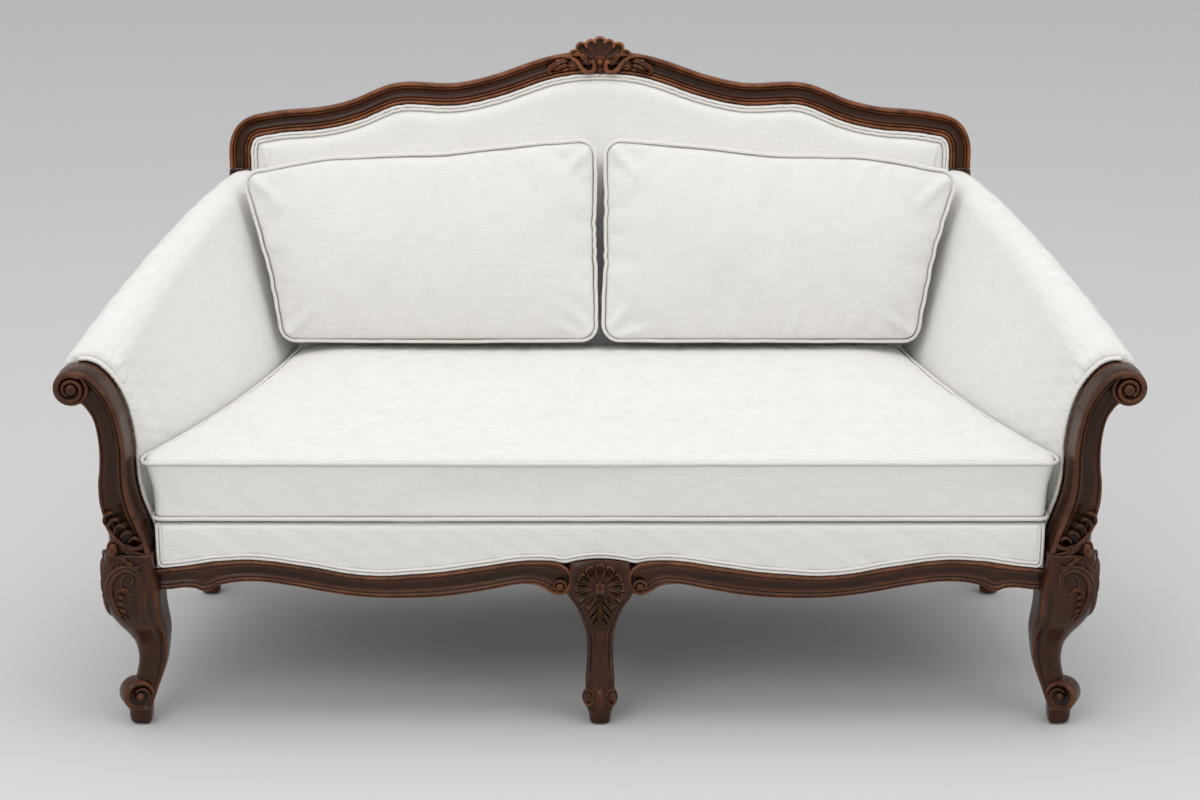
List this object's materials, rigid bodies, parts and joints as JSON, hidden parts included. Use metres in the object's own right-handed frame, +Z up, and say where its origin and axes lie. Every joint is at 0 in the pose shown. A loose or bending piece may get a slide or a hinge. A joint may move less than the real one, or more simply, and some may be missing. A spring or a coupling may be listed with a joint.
{
  "type": "cabriole sofa",
  "caption": "Upholstered cabriole sofa with a carved serpentine show frame, scrolled arms, cabriole legs, a loose bench cushion and loose back cushions.",
  "frame": {"origin": "on the floor, under the middle of the whole object", "axes": "+X to the right as the sofa is seen from the front, +Y from the front to the back, +Z up"},
  "size_m": [1.792, 0.868, 1.0349],
  "materials": {
    "show_wood": "satin dark walnut",
    "frame_wood": "sawn beech",
    "linen": "off-white linen over padding",
    "cushion_linen": "off-white linen",
    "welt": "linen over cord",
    "deck_cloth": "plain cotton over padding",
    "foam": "foam",
    "zip_tape": "woven tape",
    "underside_cloth": "black woven cloth",
    "steel": "plain steel"
  },
  "bodies": {
    "sofa_frame": {"front_leg_right": "show_wood", "front_leg_left": "show_wood", "front_leg_centre": "show_wood", "front_apron_right": "show_wood", "front_apron_left": "show_wood", "side_apron_right": "show_wood", "side_apron_left": "show_wood", "crest_rail": "show_wood", "crest_shell": "show_wood", "rear_leg_right": "show_wood", "rear_leg_left": "show_wood", "rear_leg_centre": "show_wood", "arm_support_right": "show_wood", "arm_support_left": "show_wood", "corner_blocks": "frame_wood", "joint_dowels": "frame_wood", "rear_rail_right": "frame_wood", "rear_rail_left": "frame_wood", "seat_cross_rail": "frame_wood", "back_lower_rail": "frame_wood", "back_slat": "frame_wood", "arm_stump_right": "frame_wood", "arm_stump_left": "frame_wood", "arm_top_rail_right": "frame_wood", "arm_top_rail_left": "frame_wood", "arm_lower_rail_right": "frame_wood", "arm_lower_rail_left": "frame_wood", "inside_back": "linen", "outside_back": "linen", "seat_front_band": "linen", "arm_pad_right": "linen", "arm_pad_left": "linen", "outside_arm_right": "linen", "outside_arm_left": "linen", "back_welt": "welt", "band_welts": "welt", "arm_welt_right": "welt", "arm_welt_left": "welt", "corner_block_screws": "steel", "foot_glides": "steel", "seat_springs": "steel", "spring_clips": "steel", "back_webbing": "underside_cloth", "dust_cover": "underside_cloth", "seat_deck": "deck_cloth"},
    "seat_cushion": {"seat_cushion_cover": "cushion_linen", "seat_cushion_core": "foam", "seat_cushion_piping": "welt", "seat_cushion_zip": "zip_tape"},
    "back_cushion_right": {"back_cushion_right_cover": "cushion_linen", "back_cushion_right_core": "foam", "back_cushion_right_piping": "welt", "back_cushion_right_zip": "zip_tape"},
    "back_cushion_left": {"back_cushion_left_cover": "cushion_linen", "back_cushion_left_core": "foam", "back_cushion_left_piping": "welt", "back_cushion_left_zip": "zip_tape"}
  },
  "joints": [
    {"name": "bench_cushion_pull", "type": "slide", "parent": "sofa_frame", "child": "seat_cushion", "axis": [0, -1, 0], "range_m": [0, 0.6]},
    {"name": "right_back_cushion_lift", "type": "slide", "parent": "sofa_frame", "child": "back_cushion_right", "axis": [0, 0, 1], "range_m": [0, 0.45]},
    {"name": "left_back_cushion_lift", "type": "slide", "parent": "sofa_frame", "child": "back_cushion_left", "axis": [0, 0, 1], "range_m": [0, 0.45]}
  ]
}
